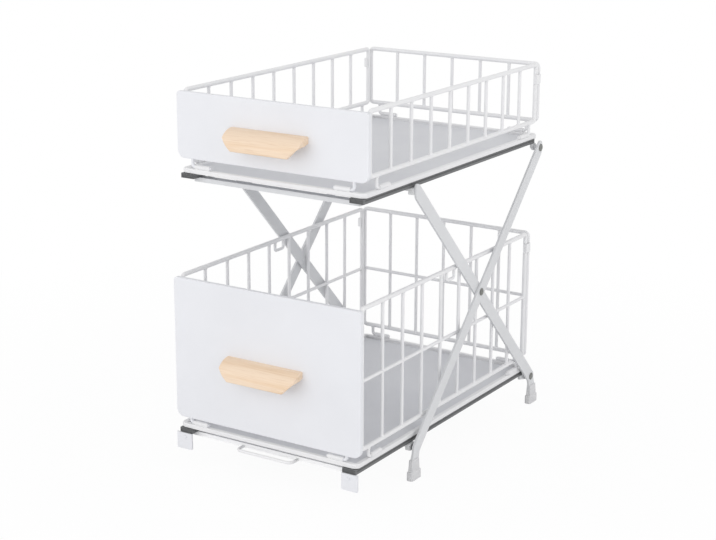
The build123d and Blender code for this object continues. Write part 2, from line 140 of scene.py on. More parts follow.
def set_ramp(node: bpy.types.Node, stops: list[tuple[float, tuple[float, float, float, float]]]) -> None:
    """Sets the stops of a colour ramp.

    Args:
        node: The ramp.
        stops: Position and linear colour of each stop.
    """
    ramp = node.color_ramp
    while len(ramp.elements) > 1:
        ramp.elements.remove(ramp.elements[-1])
    ramp.elements[0].position, ramp.elements[0].color = stops[0]
    for position, colour in stops[1:]:
        ramp.elements.new(position).color = colour


# In the finishes below, a texture's scale is one over a real size in metres, set by a field in millimetres.
@dataclass(frozen=True)
class PowderCoat:
    """Baked powder paint on steel: an even satin skin with a faint orange peel."""

    name: str
    colour: str
    shade: str
    roughness: float = 0.42
    peel_mm: float = 1.6
    peel_depth: float = 0.05
    cloud_mm: float = 90.0
    gloss_swing: float = 0.06
    peel_height_mm: float = 0.2

    def build(self) -> bpy.types.Material:
        """Makes the material. The peel is drawn coarser than life, so that it shows at all.

        Returns:
            The finished material.
        """
        material, tree = new_material(self.name)
        place = add_node(tree, "ShaderNodeTexCoord").outputs["Object"]
        cloud = add_node(tree, "ShaderNodeTexNoise",
                         {"Vector": place, "Scale": 1 / (self.cloud_mm * MM), "Detail": 3.0,
                          "Roughness": 0.55})
        tint = add_node(tree, "ShaderNodeValToRGB", {"Fac": cloud.outputs["Fac"]})
        set_ramp(tint, [(0.3, linear(self.shade)), (0.62, linear(self.colour))])
        peel = add_node(tree, "ShaderNodeTexNoise",
                        {"Vector": place, "Scale": 1 / (self.peel_mm * MM), "Detail": 2.0})
        gloss = add_node(tree, "ShaderNodeMapRange",
                         {"Value": peel.outputs["Fac"], "To Min": self.roughness - self.gloss_swing,
                          "To Max": self.roughness + self.gloss_swing})
        bump = add_node(tree, "ShaderNodeBump",
                        {"Height": peel.outputs["Fac"], "Strength": self.peel_depth,
                         "Distance": self.peel_height_mm * MM})
        skin = add_node(tree, "ShaderNodeBsdfPrincipled",
                        {"Base Color": tint.outputs["Color"], "Roughness": gloss.outputs["Result"],
                         "Normal": bump.outputs["Normal"], "IOR": PAINT_IOR})
        add_node(tree, "ShaderNodeOutputMaterial", {"Surface": skin.outputs["BSDF"]})
        return material


@dataclass(frozen=True)
class MouldedPlastic:
    """Filled nylon out of a mould: dull, with a fine spark-eroded grain and long flow lines."""

    name: str
    colour: str
    shade: str
    roughness: float = 0.55
    grain_mm: float = 0.9
    flow_mm: float = 3.0
    flow_stretch: float = 0.03
    grain_height_mm: float = 0.2
    gloss_swing: tuple[float, float] = (0.08, 0.1)

    def build(self) -> bpy.types.Material:
        """Makes the material. Its flow lines run along Y, as the rails do.

        Returns:
            The finished material.
        """
        material, tree = new_material(self.name)
        place = add_node(tree, "ShaderNodeTexCoord").outputs["Object"]
        drawn = add_node(tree, "ShaderNodeMapping", {"Vector": place, "Scale": (1.0, self.flow_stretch, 1.0)})
        flow = add_node(tree, "ShaderNodeTexNoise",
                        {"Vector": drawn.outputs["Vector"], "Scale": 1 / (self.flow_mm * MM),
                         "Detail": 4.0})
        tint = add_node(tree, "ShaderNodeValToRGB", {"Fac": flow.outputs["Fac"]})
        set_ramp(tint, [(0.32, linear(self.shade)), (0.66, linear(self.colour))])
        grain = add_node(tree, "ShaderNodeTexNoise",
                         {"Vector": place, "Scale": 1 / (self.grain_mm * MM), "Detail": 3.0})
        gloss = add_node(tree, "ShaderNodeMapRange",
                         {"Value": grain.outputs["Fac"], "To Min": self.roughness - self.gloss_swing[0],
                          "To Max": self.roughness + self.gloss_swing[1]})
        bump = add_node(tree, "ShaderNodeBump",
                        {"Height": grain.outputs["Fac"], "Strength": 0.12,
                         "Distance": self.grain_height_mm * MM})
        skin = add_node(tree, "ShaderNodeBsdfPrincipled",
                        {"Base Color": tint.outputs["Color"], "Roughness": gloss.outputs["Result"],
                         "Normal": bump.outputs["Normal"], "IOR": NYLON_IOR})
        add_node(tree, "ShaderNodeOutputMaterial", {"Surface": skin.outputs["BSDF"]})
        return material


@dataclass(frozen=True)
class PaleBeech:
    """Planed beech under a thin clear lacquer: fine straight grain along X with short darker flecks."""

    name: str
    light: str
    dark: str
    fleck: str
    ring_mm: float = 7.0
    fibre_mm: float = 0.7
    roughness: float = 0.48
    ring_stretch: float = 0.05
    fibre_stretch: float = 0.03
    fleck_share: float = 0.45
    pore_depth_mm: float = 0.15

    def build(self) -> bpy.types.Material:
        """Makes the material. Growth rings show as long bands, fibres as thin streaks between them.

        Returns:
            The finished material.
        """
        material, tree = new_material(self.name)
        place = add_node(tree, "ShaderNodeTexCoord").outputs["Object"]
        along = add_node(tree, "ShaderNodeMapping", {"Vector": place, "Scale": (self.ring_stretch, 1.0, 1.0)})
        ring = add_node(tree, "ShaderNodeTexNoise",
                        {"Vector": along.outputs["Vector"], "Scale": 1 / (self.ring_mm * MM), "Detail": 2.5,
                         "Distortion": 0.6})
        thin = add_node(tree, "ShaderNodeMapping", {"Vector": place, "Scale": (self.fibre_stretch, 1.0, 1.0)})
        fibre = add_node(tree, "ShaderNodeTexNoise",
                         {"Vector": thin.outputs["Vector"], "Scale": 1 / (self.fibre_mm * MM),
                          "Detail": 3.0})
        band = add_node(tree, "ShaderNodeValToRGB", {"Fac": ring.outputs["Fac"]})
        set_ramp(band, [(0.3, linear(self.dark)), (0.5, linear(self.light)), (0.7, linear(self.light))])
        streak = add_node(tree, "ShaderNodeMapRange",
                          {"Value": fibre.outputs["Fac"], "From Min": 0.52, "From Max": 0.75,
                           "To Min": 0.0, "To Max": self.fleck_share})
        grain = add_node(tree, "ShaderNodeMix",
                         {0: streak.outputs["Result"], 6: band.outputs["Color"], 7: linear(self.fleck)},
                         data_type="RGBA")
        bump = add_node(tree, "ShaderNodeBump",
                        {"Height": fibre.outputs["Fac"], "Strength": 0.15,
                         "Distance": self.pore_depth_mm * MM})
        skin = add_node(tree, "ShaderNodeBsdfPrincipled",
                        {"Base Color": grain.outputs[2], "Roughness": self.roughness,
                         "Normal": bump.outputs["Normal"], "IOR": PAINT_IOR})
        add_node(tree, "ShaderNodeOutputMaterial", {"Surface": skin.outputs["BSDF"]})
        return material


@dataclass(frozen=True)
class PlatedSteel:
    """Zinc-plated steel: a grey metal with fine turning marks and a cloudy sheen."""

    name: str
    colour: str
    shade: str
    roughness: float = 0.4
    mark_mm: float = 0.5
    cloud_mm: float = 3.0
    gloss_swing: float = 0.1
    metal_share: float = 0.85

    def build(self) -> bpy.types.Material:
        """Makes the material.

        Returns:
            The finished material.
        """
        material, tree = new_material(self.name)
        place = add_node(tree, "ShaderNodeTexCoord").outputs["Object"]
        cloud = add_node(tree, "ShaderNodeTexNoise",
                         {"Vector": place, "Scale": 1 / (self.cloud_mm * MM), "Detail": 3.0})
        tint = add_node(tree, "ShaderNodeValToRGB", {"Fac": cloud.outputs["Fac"]})
        set_ramp(tint, [(0.35, linear(self.shade)), (0.65, linear(self.colour))])
        mark = add_node(tree, "ShaderNodeTexNoise",
                        {"Vector": place, "Scale": 1 / (self.mark_mm * MM), "Detail": 2.0})
        gloss = add_node(tree, "ShaderNodeMapRange",
                         {"Value": mark.outputs["Fac"], "To Min": self.roughness - self.gloss_swing,
                          "To Max": self.roughness + self.gloss_swing})
        skin = add_node(tree, "ShaderNodeBsdfPrincipled",
                        {"Base Color": tint.outputs["Color"], "Metallic": self.metal_share,
                         "Roughness": gloss.outputs["Result"]})
        add_node(tree, "ShaderNodeOutputMaterial", {"Surface": skin.outputs["BSDF"]})
        return material


PANEL_COAT = PowderCoat("panel_white_powder_coat", "#E5E6EA", "#E2E3E7")
WIRE_COAT = PowderCoat("wire_white_powder_coat", "#EBEBEC", "#E6E6E8", roughness=0.32)
TUBE_COAT = PowderCoat("tube_white_powder_coat", "#E9E9EA", "#E4E4E6", roughness=0.36)
LEG_COAT = PowderCoat("leg_white_powder_coat", "#D9DADC", "#D4D5D7")
# A brighter copy of the white paint: painted light on the lower bars, which lie in shade under the tray.
BAR_COAT_PAINTED_LIGHT = PowderCoat("bar_bright_powder_coat", "#FCFCFC", "#F8F8F9")
SHEET_COAT = PowderCoat("tray_grey_powder_coat", "#D8D9DD", "#D2D3D8", roughness=0.5, peel_mm=1.2)
RAIL_NYLON = MouldedPlastic("rail_dark_nylon", "#707172", "#636466")
# Dark nylon for the rail plugs, and painted shade as the strips in the rail grooves and the washers by the
# slide blocks.
DARK_NYLON_AND_PAINTED_SHADE = MouldedPlastic("glide_tape_black_nylon", "#58595A", "#4C4D4E")
BLOCK_NYLON = MouldedPlastic("block_pale_nylon", "#E2E3E4", "#D8D9DA")
BOOT_VINYL = MouldedPlastic("boot_grey_vinyl", "#DADADB", "#D0D0D2", roughness=0.6)
PULL_BEECH = PaleBeech("pull_pale_beech", "#EED7BE", "#E6CAAB", "#D2AF8E", roughness=0.4)
RIVET_ZINC = PlatedSteel("rivet_zinc_steel", "#8C8D8A", "#747572")


def dress(node: str, material: bpy.types.Material) -> None:
    """Gives a CAD node its finish.

    Args:
        node: The node's name.
        material: The finish.
    """
    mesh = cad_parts[node].data
    mesh.materials.clear()
    mesh.materials.append(material)


def new_piece(name: str, shape: bmesh.types.BMesh, material: bpy.types.Material, body: str,
              crease_deg: float = 40.0) -> bpy.types.Object:
    """Merges and smooths a shape and makes it a piece that rides on a body.

    Args:
        name: The piece's name.
        shape: The modelled shape, in metres in the row frame; it is freed here.
        material: Its finish.
        body: The CAD body that it moves with.
        crease_deg: Edges that bend by more than this stay sharp.

    Returns:
        The new object, which sits at the origin.
    """
    bmesh.ops.remove_doubles(shape, verts=shape.verts, dist=MERGE)
    bmesh.ops.recalc_face_normals(shape, faces=shape.faces)
    for face in shape.faces:
        face.smooth = True
    for edge in shape.edges:
        edge.smooth = edge.calc_face_angle(math.pi) < math.radians(crease_deg)
    mesh = bpy.data.meshes.new(name)
    shape.to_mesh(mesh)
    shape.free()
    mesh.materials.append(material)
    piece = bpy.data.objects.new(name, mesh)
    bpy.context.scene.collection.objects.link(piece)
    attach(piece, body)
    log.info("built %s: %d faces", name, len(mesh.polygons))
    return piece


def spin_round(shape: bmesh.types.BMesh, outline: Iterable[tuple[float, float]], place: Vector, axis: Vector,
               steps: int = 40) -> None:
    """Spins an outline round an axis into a round body, a ring or a collar.

    Args:
        shape: The bmesh that takes it.
        outline: Radius and height of each point in millimetres, in order.
        place: Where height 0 lies, in metres.
        axis: The way in which the height runs.
        steps: Facets round the body.
    """
    before = set(shape.verts)
    verts = [shape.verts.new((radius * MM, 0.0, height * MM)) for radius, height in outline]
    edges = [shape.edges.new(ends) for ends in zip(verts, verts[1:])]
    bmesh.ops.spin(shape, geom=verts + edges, cent=(0, 0, 0), axis=(0, 0, 1), angle=math.tau, steps=steps,
                   use_merge=True)
    fresh = [vert for vert in shape.verts if vert not in before]
    bmesh.ops.remove_doubles(shape, verts=fresh, dist=MERGE)
    turned = [vert for vert in fresh if vert.is_valid]
    matrix = Matrix.Translation(place) @ axis.to_track_quat("Z", "Y").to_matrix().to_4x4()
    bmesh.ops.transform(shape, matrix=matrix, verts=turned)


def bead(shape: bmesh.types.BMesh, place: Vector, sizes_mm: tuple[float, float, float]) -> None:
    """Adds one small rounded bead of weld.

    Args:
        shape: The bmesh that takes it.
        place: Its middle, in metres.
        sizes_mm: Its half-lengths along X, Y and Z.
    """
    matrix = Matrix.Translation(place) @ Matrix.Diagonal((*(size * MM for size in sizes_mm), 1.0))
    bmesh.ops.create_icosphere(shape, subdivisions=2, radius=1.0, matrix=matrix)


def rounded_bar(shape: bmesh.types.BMesh, low_mm: tuple[float, float, float],
                high_mm: tuple[float, float, float], edge_mm: float, segments: int = 3) -> None:
    """Adds a bar between two corners with all its edges rounded.

    Args:
        shape: The bmesh that takes it.
        low_mm: Its lowest corner.
        high_mm: Its highest corner.
        edge_mm: Width of the rounding.
        segments: Steps across the rounding.
    """
    low, high = Vector(low_mm) * MM, Vector(high_mm) * MM
    matrix = Matrix.Translation((low + high) / 2) @ Matrix.Diagonal((*(high - low), 1.0))
    verts = bmesh.ops.create_cube(shape, size=1.0, matrix=matrix)["verts"]
    edges = list({edge for vert in verts for edge in vert.link_edges})
    bmesh.ops.bevel(shape, geom=edges, offset=edge_mm * MM, segments=segments, profile=0.5, affect="EDGES",
                    material=-1, clamp_overlap=True)


def head_outline(start: float, radius: float, height: float) -> list[tuple[float, float]]:
    """Gives the outline of a peened rivet head with a dimple in its middle.

    Args:
        start: Height at which the head begins.
        radius: Its radius.
        height: How far it stands out.

    Returns:
        Radius and height of each point, ending at the pole.
    """
    shares = ((0.94, 0.0), (1.0, 0.12), (1.0, 0.38), (0.94, 0.62), (0.82, 0.84), (0.66, 0.97), (0.52, 1.0),
              (0.42, 0.94), (0.34, 0.74), (0.22, 0.62), (0.0, 0.58))
    return [(radius * r, start + height * h) for r, h in shares]


def box_middle(node: str) -> Vector:
    """Gives the middle of a CAD node's box.

    Args:
        node: The node's name.

    Returns:
        The middle, in metres.
    """
    low, high = map(Vector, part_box(node))
    return (low + high) / 2


@dataclass
class Finishes:
    """The built materials, one of each finish."""

    panel: bpy.types.Material
    wire: bpy.types.Material
    tube: bpy.types.Material
    leg: bpy.types.Material
    bar: bpy.types.Material
    sheet: bpy.types.Material
    rail: bpy.types.Material
    tape: bpy.types.Material
    block: bpy.types.Material
    boot: bpy.types.Material
    beech: bpy.types.Material
    zinc: bpy.types.Material

    @classmethod
    def build(cls) -> "Finishes":
        """Builds every finish once.

        Returns:
            The finishes, in the order of the fields.
        """
        kinds = (PANEL_COAT, WIRE_COAT, TUBE_COAT, LEG_COAT, BAR_COAT_PAINTED_LIGHT, SHEET_COAT, RAIL_NYLON, DARK_NYLON_AND_PAINTED_SHADE,
                 BLOCK_NYLON, BOOT_VINYL, PULL_BEECH, RIVET_ZINC)
        return cls(*(kind.build() for kind in kinds))


@dataclass(frozen=True)
class TierPlace:
    """Where one tier's pieces lie, in millimetres, as the CAD has them."""

    front: float
    base: float
    grid_lift: float
    grid_height: float
    has_mid_wire: bool
    pivot_leg_x: float
    hinge_rise: float = 13.2

    @property
    def hinge_z(self) -> float:
        """Height of the axes on which the panels fold."""
        return self.base + self.hinge_rise

    @property
    def grid_z(self) -> float:
        """Height of the lowest wire."""
        return self.hinge_z + self.grid_lift

    @property
    def rim_z(self) -> float:
        """Height of the rim wire."""
        return self.grid_z + self.grid_height


PLACES = {
    Tier.LOWER: TierPlace(front=-197.3, base=40.5, grid_lift=12.4, grid_height=158.8, has_mid_wire=True,
                          pivot_leg_x=124.0),
    Tier.UPPER: TierPlace(front=-183.8, base=337.0, grid_lift=14.3, grid_height=69.2, has_mid_wire=False,
                          pivot_leg_x=127.0),
}


@dataclass
class Basket:
    """One pull-out basket: tray, wire panels, front and pull. Sizes are in millimetres."""

    tier: Tier
    finishes: Finishes
    tray_depth: float = 397.0
    side_x: float = 119.9
    back_y: float = 394.25
    side_y: tuple[float, float] = (9.6, 387.45)
    side_wires: int = 8
    back_wires: int = 5
    mid_share: float = 0.49
    rim_radius: float = 2.6
    wire_radius: float = 2.0
    sleeve_radius: float = 2.7
    sleeve_length: float = 20.0
    sleeve_gap: float = 4.0
    side_hinge_inset: float = 24.0
    loop_width: float = 17.0
    end_hinge_x: float = 106.0
    end_hinge_y: float = 2.75
    screw_x: float = 32.0
    screw_head_radius: float = 3.8
    screw_head_height: float = 1.6
    # Radius as a share of the head's and depth of the two rings that round the head.
    screw_crown: tuple[tuple[float, float], ...] = ((0.9, 0.18), (1.0, 0.55))
    shank_share: float = 0.3
    point_share: float = 0.06
    point_length: float = 2.0
    # The cross recess is sunk into a square of cells; each arm is some cells long from the middle one.
    recess_share: float = 0.62
    recess_cells: int = 7
    recess_arm: int = 2
    recess_depth: float = 0.9
    # Upset collars at the welds: how far they stand out, and where they start, bend and end.
    collar_sides: int = 12
    collar_spread: float = 0.55
    collar_skin: float = 0.02
    collar_root: float = 0.6
    collar_soft: float = 0.25
    collar_runs: tuple[float, float, float] = (-0.1, 0.3, 0.9)
    bead_spread: float = 0.45
    # Tack welds of the sleeves: half-lengths along, across and up.
    tack_half: tuple[float, float, float] = (2.0, 0.9, 0.8)
    tack_inset: float = 2.5
    tack_reach: float = 1.9
    tack_lift: float = 0.4

    def __post_init__(self) -> None:
        """Looks up where this tier stands."""
        self.place = PLACES[self.tier]

    def flare(self, shape: bmesh.types.BMesh, x: float, y: float, z: float, up: int) -> None:
        """Adds the upset collar where an upright is welded to a rim.

        Args:
            shape: The bmesh that takes it.
            x: Across.
            y: Along.
            z: Height of the rim wire's middle.
            up: 1 where the upright stands on the rim, -1 where it hangs from it.
        """
        wide, thin = self.wire_radius + self.collar_spread, self.wire_radius + self.collar_skin
        low, bend, end = (self.rim_radius + run for run in self.collar_runs)
        outline = [(wide, self.collar_root), (wide, low), (wide - self.collar_soft, bend), (thin, end)]
        spin_round(shape, outline, Vector((x, y, z)) * MM, Vector((0, 0, up)), self.collar_sides)

    def weld_grid(self, name: str, body: str, spots: list[tuple[float, float]],
                  hinges: list[tuple[float, float]], loops: list[tuple[float, float]]) -> None:
        """Builds the welds of one wire panel.

        Args:
            name: The panel's node.
            body: The body that the panel rides on.
            spots: X and Y of each upright.
            hinges: X and Y of each hinge wire under the panel.
            loops: X and Y of each end of the hand loop under the rim.
        """
        shape = bmesh.new()
        for x, y in spots:
            self.flare(shape, x, y, self.place.grid_z, 1)
            self.flare(shape, x, y, self.place.rim_z, -1)
            if self.place.has_mid_wire:
                z = self.place.grid_z + self.place.grid_height * self.mid_share
                bead(shape, Vector((x, y, z)) * MM, (self.wire_radius + self.bead_spread,) * 3)
        for x, y in hinges:
            self.flare(shape, x, y, self.place.grid_z, -1)
        for x, y in loops:
            self.flare(shape, x, y, self.place.rim_z, -1)
        new_piece(f"{name}_welds", shape, self.finishes.wire, body)

    def build_welds(self) -> None:
        """Builds the welds of the two side panels and of the rear panel."""
        low, high = (self.place.front + y for y in self.side_y)
        step = (high - low) / (self.side_wires + 1)
        name = self.tier.value
        hinge_ys = (self.place.front + self.side_hinge_inset,
                    self.place.front + self.tray_depth - self.side_hinge_inset)
        loop_ys = [(low + high + way * self.loop_width) / 2 for way in (-1, 1) if self.place.has_mid_wire]
        for side in Side:
            x = side.value * self.side_x
            spots = [(x, low + step * (i + 1)) for i in range(self.side_wires)]
            self.weld_grid(f"{name}_side_grid_{side.word}", f"{name}_side_{side.word}", spots,
                           [(x, y) for y in hinge_ys], [(x, y) for y in loop_ys])
        pitch = 2 * self.side_x / (self.back_wires + 1)
        y = self.place.front + self.back_y
        spots = [(-self.side_x + pitch * (i + 1), y) for i in range(self.back_wires)]
        self.weld_grid(f"{name}_back_grid", f"{name}_drawer", spots,
                       [(side.value * self.end_hinge_x, y) for side in Side], [])

    def build_sleeve_welds(self) -> None:
        """Builds the tack welds that hold the hinge sleeves on the tray's tube."""
        shape = bmesh.new()
        place = self.place
        z = place.hinge_z - self.sleeve_radius + self.tack_lift
        ends = (self.tack_inset, self.sleeve_length - self.tack_inset)
        along, across, up = self.tack_half
        for side in Side:
            near = place.front + self.side_hinge_inset + self.sleeve_gap
            far = (place.front + self.tray_depth - self.side_hinge_inset - self.sleeve_gap
                   - self.sleeve_length)
            for start in (near, far):
                for reach in ends:
                    for way in (-1, 1):
                        x = side.value * self.side_x + way * self.tack_reach
                        if abs(x) < self.side_x:
                            bead(shape, Vector((x, start + reach, z)) * MM, (across, along, up))
            inner = self.end_hinge_x - self.sleeve_gap - self.sleeve_length
            for y in (self.end_hinge_y, self.back_y):
                for reach in ends:
                    for way in (-1, 1):
                        spot_y = place.front + y + way * self.tack_reach
                        spot = Vector((side.value * (inner + reach), spot_y, z)) * MM
                        bead(shape, spot, (along, across, up))
        name = self.tier.value
        new_piece(f"{name}_sleeve_welds", shape, self.finishes.tube, f"{name}_drawer")

    def cross_screw(self, shape: bmesh.types.BMesh, x: float, y: float, z: float, tip_y: float) -> None:
        """Adds one pan-head screw with a cross recess that faces backwards.

        Args:
            shape: The bmesh that takes it.
            x: Across.
            y: Where its head lies on the sheet.
            z: Height.
            tip_y: Where its point ends in the wood.
        """
        part = bmesh.new()
        half, cells = self.screw_head_radius * self.recess_share, self.recess_cells
        bmesh.ops.create_grid(part, x_segments=cells, y_segments=cells, size=half * MM)
        step = 2 * half / cells * MM
        arms = []
        for face in part.faces:
            column, row = (abs(round(value / step)) for value in face.calc_center_median()[:2])
            if min(column, row) == 0 and max(column, row) <= self.recess_arm:
                arms.append(face)
        sunk = bmesh.ops.extrude_face_region(part, geom=arms)
        floor = [item for item in sunk["geom"] if isinstance(item, bmesh.types.BMVert)]
        bmesh.ops.translate(part, vec=(0, 0, -self.recess_depth * MM), verts=floor)
        bmesh.ops.delete(part, geom=[face for face in arms if face.is_valid], context="FACES_ONLY")
        loop = [edge for edge in part.edges if edge.is_boundary and abs(edge.verts[0].co.z) < 10 * MERGE]
        count = len(loop)
        head, end = self.screw_head_height, self.screw_head_height + y - tip_y
        rings = [*self.screw_crown, (1.0, head), (self.shank_share, head),
                 (self.shank_share, end - self.point_length), (self.point_share, end)]
        for share, depth in rings:
            turn = Matrix.Translation((0, 0, -depth * MM)) @ Matrix.Rotation(math.pi / 4, 4, "Z")
            ring = bmesh.ops.create_circle(part, segments=count, radius=self.screw_head_radius * share * MM,
                                           matrix=turn)
            edges = list({edge for vert in ring["verts"] for edge in vert.link_edges})
            bmesh.ops.bridge_loops(part, edges=loop + edges)
            loop = edges
        bmesh.ops.holes_fill(part, edges=loop, sides=0)
        top = Vector((x, y + self.screw_head_height, z)) * MM
        matrix = Matrix.Translation(top) @ Vector((0, 1, 0)).to_track_quat("Z", "Y").to_matrix().to_4x4()
        bmesh.ops.transform(part, matrix=matrix, verts=part.verts)
        mesh = bpy.data.meshes.new("screw")
        part.to_mesh(mesh)
        part.free()
        shape.from_mesh(mesh)
        bpy.data.meshes.remove(mesh)

    def build_screws(self) -> None:
        """Builds the two screws of the pull in place of the CAD's plain ones."""
        node = f"{self.tier.value}_handle_screws"
        low, high = (corner / MM for corner in map(Vector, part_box(node)))
        shape = bmesh.new()
        for side in Side:
            self.cross_screw(shape, side.value * self.screw_x, high.y - self.screw_head_height,
                             (low.z + high.z) / 2, low.y)
        piece = new_piece(f"{self.tier.value}_pull_screws", shape, self.finishes.zinc,
                          f"{self.tier.value}_drawer")
        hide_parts(node)

    def dress_nodes(self) -> None:
        """Gives every node of the basket its finish."""
        name = self.tier.value
        for part, material in (("tray_frame", self.finishes.tube), ("tray_sheet", self.finishes.sheet),
                               ("front_panel", self.finishes.panel), ("handle", self.finishes.beech),
                               ("handle_screws", self.finishes.zinc), ("back_grid", self.finishes.wire)):
            dress(f"{name}_{part}", material)
        for side in Side:
            dress(f"{name}_side_grid_{side.word}", self.finishes.wire)
            dress(f"{name}_runner_{side.word}", self.finishes.rail)
        log.info("dressed the %s basket", name)

    def build(self) -> None:
        """Dresses the basket's nodes and adds its welds and screws."""
        self.dress_nodes()
        self.build_welds()
        self.build_sleeve_welds()
        self.build_screws()


@dataclass
class SupportFrame:
    """The rails, channels, bars, brackets and pivots that carry one basket. Sizes are in millimetres."""

    tier: Tier
    finishes: Finishes
    bracket_inner_x: float = 118.2
    bracket_outer_x: float = 121.2
    shank_radius: float = 2.5
    spacer_radius: float = 3.2
    head_radius: float = 4.5
    head_height: float = 0.8
    gap: float = 0.3
    leg_thickness: float = 2.5
    rail_x: tuple[float, float] = (102.2, 120.2)
    rail_height: float = 5.2
    rail_front_overhang: float = 1.5
    rail_end: float = 390.5
    rail_cap: float = 3.0
    groove_drop: float = 0.8
    groove_height: float = 1.6
    groove_depth: float = 0.8
    shade_strip_sink: float = 0.3
    plug_proud: float = 0.6
    tab_forward: float = 1.5
    rivet_drop: float = 5.0
    spacer_soft: float = 0.3
    spacer_sink: float = 0.1
    shade_strip_edge: float = 0.15
    # Rail plugs: how far they stay inside the rail's inner and outer sides, their rounding and sunk face.
    plug_insets: tuple[float, float] = (0.5, 0.9)
    plug_edge: float = 0.35
    plug_frame: float = 0.7
    plug_slope: float = 0.15
    plug_sink: float = 0.35
    # Tab rivets: shank radius, how deep it starts, and the head's radius and height.
    tab_sides: int = 28
    tab_shank: float = 1.8
    tab_sink: float = 0.4
    tab_head: tuple[float, float] = (2.1, 0.8)

    def __post_init__(self) -> None:
        """Looks up where this tier stands and which body carries the frame."""
        self.place = PLACES[self.tier]
        self.body = "base" if self.tier is Tier.LOWER else "upper_frame"

    def build_pivots(self) -> None:
        """Builds the rear pivots with dimpled heads and painted spacers in place of the CAD's plain ones."""
        name = self.tier.value
        leg = self.place.pivot_leg_x - self.bracket_inner_x
        head = leg + self.leg_thickness + self.gap
        plate = self.bracket_outer_x - self.bracket_inner_x
        outline = [(0.0, 0.0), (self.shank_radius, 0.0), (self.shank_radius, head)]
        outline += head_outline(head, self.head_radius, self.head_height)
        wide, thin, soft = self.spacer_radius, self.shank_radius - self.spacer_sink, self.spacer_soft
        end = leg - self.gap
        spacer = [(thin, plate), (wide - soft, plate), (wide, plate + soft), (wide, end - soft),
                  (wide - soft, end), (thin, end), (thin, plate)]
        for side in Side:
            node = f"{name}_pivot_{side.word}"
            middle = box_middle(node)
            start = Vector((side.value * self.bracket_inner_x * MM, middle.y, middle.z))
            way = Vector((side.value, 0, 0))
            shape = bmesh.new()
            spin_round(shape, outline, start, way)
            piece = new_piece(f"{name}_rear_pivot_{side.word}", shape, self.finishes.zinc, self.body)
            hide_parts(node)
            shape = bmesh.new()
            spin_round(shape, spacer, start, way)
            new_piece(f"{name}_pivot_spacer_{side.word}", shape, self.finishes.leg, self.body)

    def build_tapes(self) -> None:
        """Builds dark strips sunk in the grooves along the rails' outer sides, as painted shade on the rails'
        upper band.
        """
        place = self.place
        top = place.base + self.rail_height - self.groove_drop
        ends = (place.front - self.rail_front_overhang + self.rail_cap,
                place.front + self.rail_end - self.rail_cap)
        for side in Side:
            deep, shown = (side.value * (self.rail_x[1] - reach)
                           for reach in (self.groove_depth, self.shade_strip_sink))
            shape = bmesh.new()
            # The dark strip is painted shade along the rail's upper band.
            rounded_bar(shape, (min(deep, shown), ends[0] + self.gap, top - self.groove_height),
                        (max(deep, shown), ends[1] - self.gap, top), self.shade_strip_edge, segments=2)
            new_piece(f"{self.tier.value}_glide_tape_{side.word}", shape, self.finishes.tape, self.body)

    def build_plugs(self) -> None:
        """Builds the moulded plugs with a sunk face that close the rails' front ends."""
        place = self.place
        face_y = place.front - self.rail_front_overhang
        for side in Side:
            xs = sorted(side.value * x for x in (self.rail_x[0] + self.plug_insets[0],
                                                 self.rail_x[1] - self.plug_insets[1]))
            shape = bmesh.new()
            rounded_bar(shape, (xs[0], face_y - self.plug_proud, place.base + self.plug_edge),
                        (xs[1], face_y + self.plug_proud, place.base + self.rail_height - self.plug_edge),
                        self.plug_edge)
            shown = [face for face in shape.faces if face.normal.y < -FACING]
            bmesh.ops.inset_region(shape, faces=shown, thickness=self.plug_frame * MM, use_even_offset=True)
            bmesh.ops.inset_region(shape, faces=shown, thickness=self.plug_slope * MM,
                                   depth=-self.plug_sink * MM, use_even_offset=True)
            new_piece(f"{self.tier.value}_rail_plug_{side.word}", shape, self.finishes.tape, self.body)

    def build_tab_rivets(self) -> None:
        """Builds the painted rivets that hold the tabs under the lower rails."""
        place = self.place
        middle = sum(self.rail_x) / 2
        face_y = place.front - self.rail_front_overhang - self.tab_forward
        outline = [(0.0, -self.tab_sink), (self.tab_shank, -self.tab_sink)]
        outline += head_outline(0.0, *self.tab_head)
        for side in Side:
            shape = bmesh.new()
            spot = Vector((side.value * middle, face_y, place.base - self.rivet_drop)) * MM
            spin_round(shape, outline, spot, Vector((0, -1, 0)), self.tab_sides)
            new_piece(f"tab_rivet_{side.word}", shape, self.finishes.panel, self.body)

    def dress_nodes(self) -> None:
        """Gives every node of the frame its finish."""
        name = self.tier.value
        # Painted light and shade: the lower bars take the brightened white, the upper bars the darker leg
        # white for the shade under the tray.
        bar_painted_light_and_shade = self.finishes.bar if self.tier is Tier.LOWER else self.finishes.leg
        for bar in ("front_bar", "rear_bar"):
            dress(f"{name}_{bar}", bar_painted_light_and_shade)
        for side in Side:
            for part, material in (("rail", self.finishes.rail), ("channel", self.finishes.leg),
                                   ("bracket", self.finishes.leg), ("pivot", self.finishes.zinc),
                                   ("slide_block", self.finishes.block)):
                dress(f"{name}_{part}_{side.word}", material)
        if self.tier is Tier.LOWER:
            dress("front_pull", self.finishes.wire)
            for side in Side:
                dress(f"front_tab_{side.word}", self.finishes.panel)
        log.info("dressed the %s frame", name)

    def build(self) -> None:
        """Dresses the frame's nodes and adds its pivots, rail plugs, dark strips of painted shade along the
        rails and tab rivets.
        """
        self.dress_nodes()
        self.build_pivots()
        self.build_tapes()
        self.build_plugs()
        if self.tier is Tier.LOWER:
            self.build_tab_rivets()


